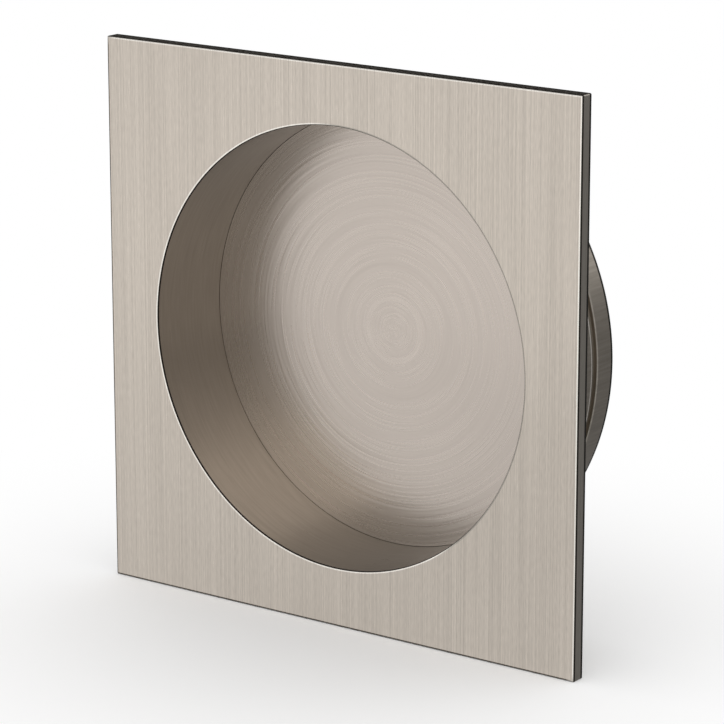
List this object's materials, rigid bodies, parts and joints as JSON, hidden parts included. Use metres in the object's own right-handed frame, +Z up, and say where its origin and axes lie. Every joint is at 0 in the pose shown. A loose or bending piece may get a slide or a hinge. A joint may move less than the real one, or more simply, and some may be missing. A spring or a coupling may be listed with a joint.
{
  "type": "recessed pull handle",
  "caption": "Square face plate with a round, flat-bottomed finger recess and a grooved cup behind it, for flush mounting in a bored hole in a door.",
  "frame": {"origin": "on the cup's axis, in the plane of the plate's back, which lies on the door's surface", "axes": "+Y along the cup's axis into the door, +Z up, +X to the right as seen from the front; the front face looks along -Y"},
  "size_m": [0.07, 0.0152, 0.07],
  "materials": {
    "brushed_nickel": "fine brushed satin nickel: straight vertical grain on the plate, turned rings in the recess"
  },
  "bodies": {
    "root": {"pull_body": "brushed_nickel"}
  },
  "joints": []
}
